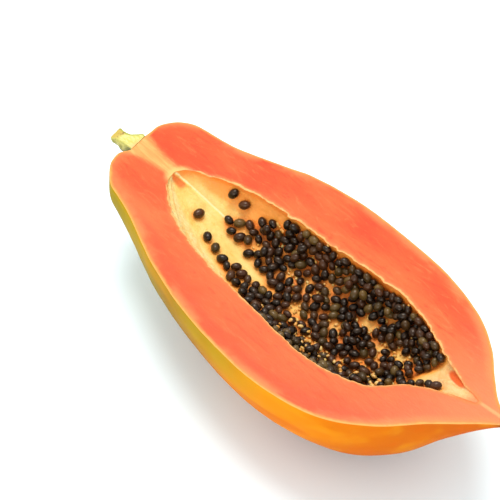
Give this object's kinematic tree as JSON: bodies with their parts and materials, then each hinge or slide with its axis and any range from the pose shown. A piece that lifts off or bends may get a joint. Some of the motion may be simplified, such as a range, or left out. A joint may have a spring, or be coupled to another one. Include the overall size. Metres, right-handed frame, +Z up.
{
  "type": "papaya half",
  "caption": "Half papaya cut lengthwise, lying on its belly with the cut face up: thick flesh round a long open seed cavity, a mass of dark seeds and a short stalk stub.",
  "frame": {"origin": "under the middle of the whole object's footprint, on the surface that the fruit rests on", "axes": "+X from the stalk to the blossom tip, +Z up out of the cut face, +Y across the cut face"},
  "size_m": [0.2902, 0.1266, 0.063],
  "materials": {
    "flesh": "moist satin fruit flesh, inside a smooth semi-gloss skin",
    "seed_coat": "wet gloss",
    "stalk": "matt, fibrous"
  },
  "bodies": {
    "root": {"fruit_half": "flesh", "seed_mass": "seed_coat", "stalk": "stalk"}
  },
  "joints": []
}
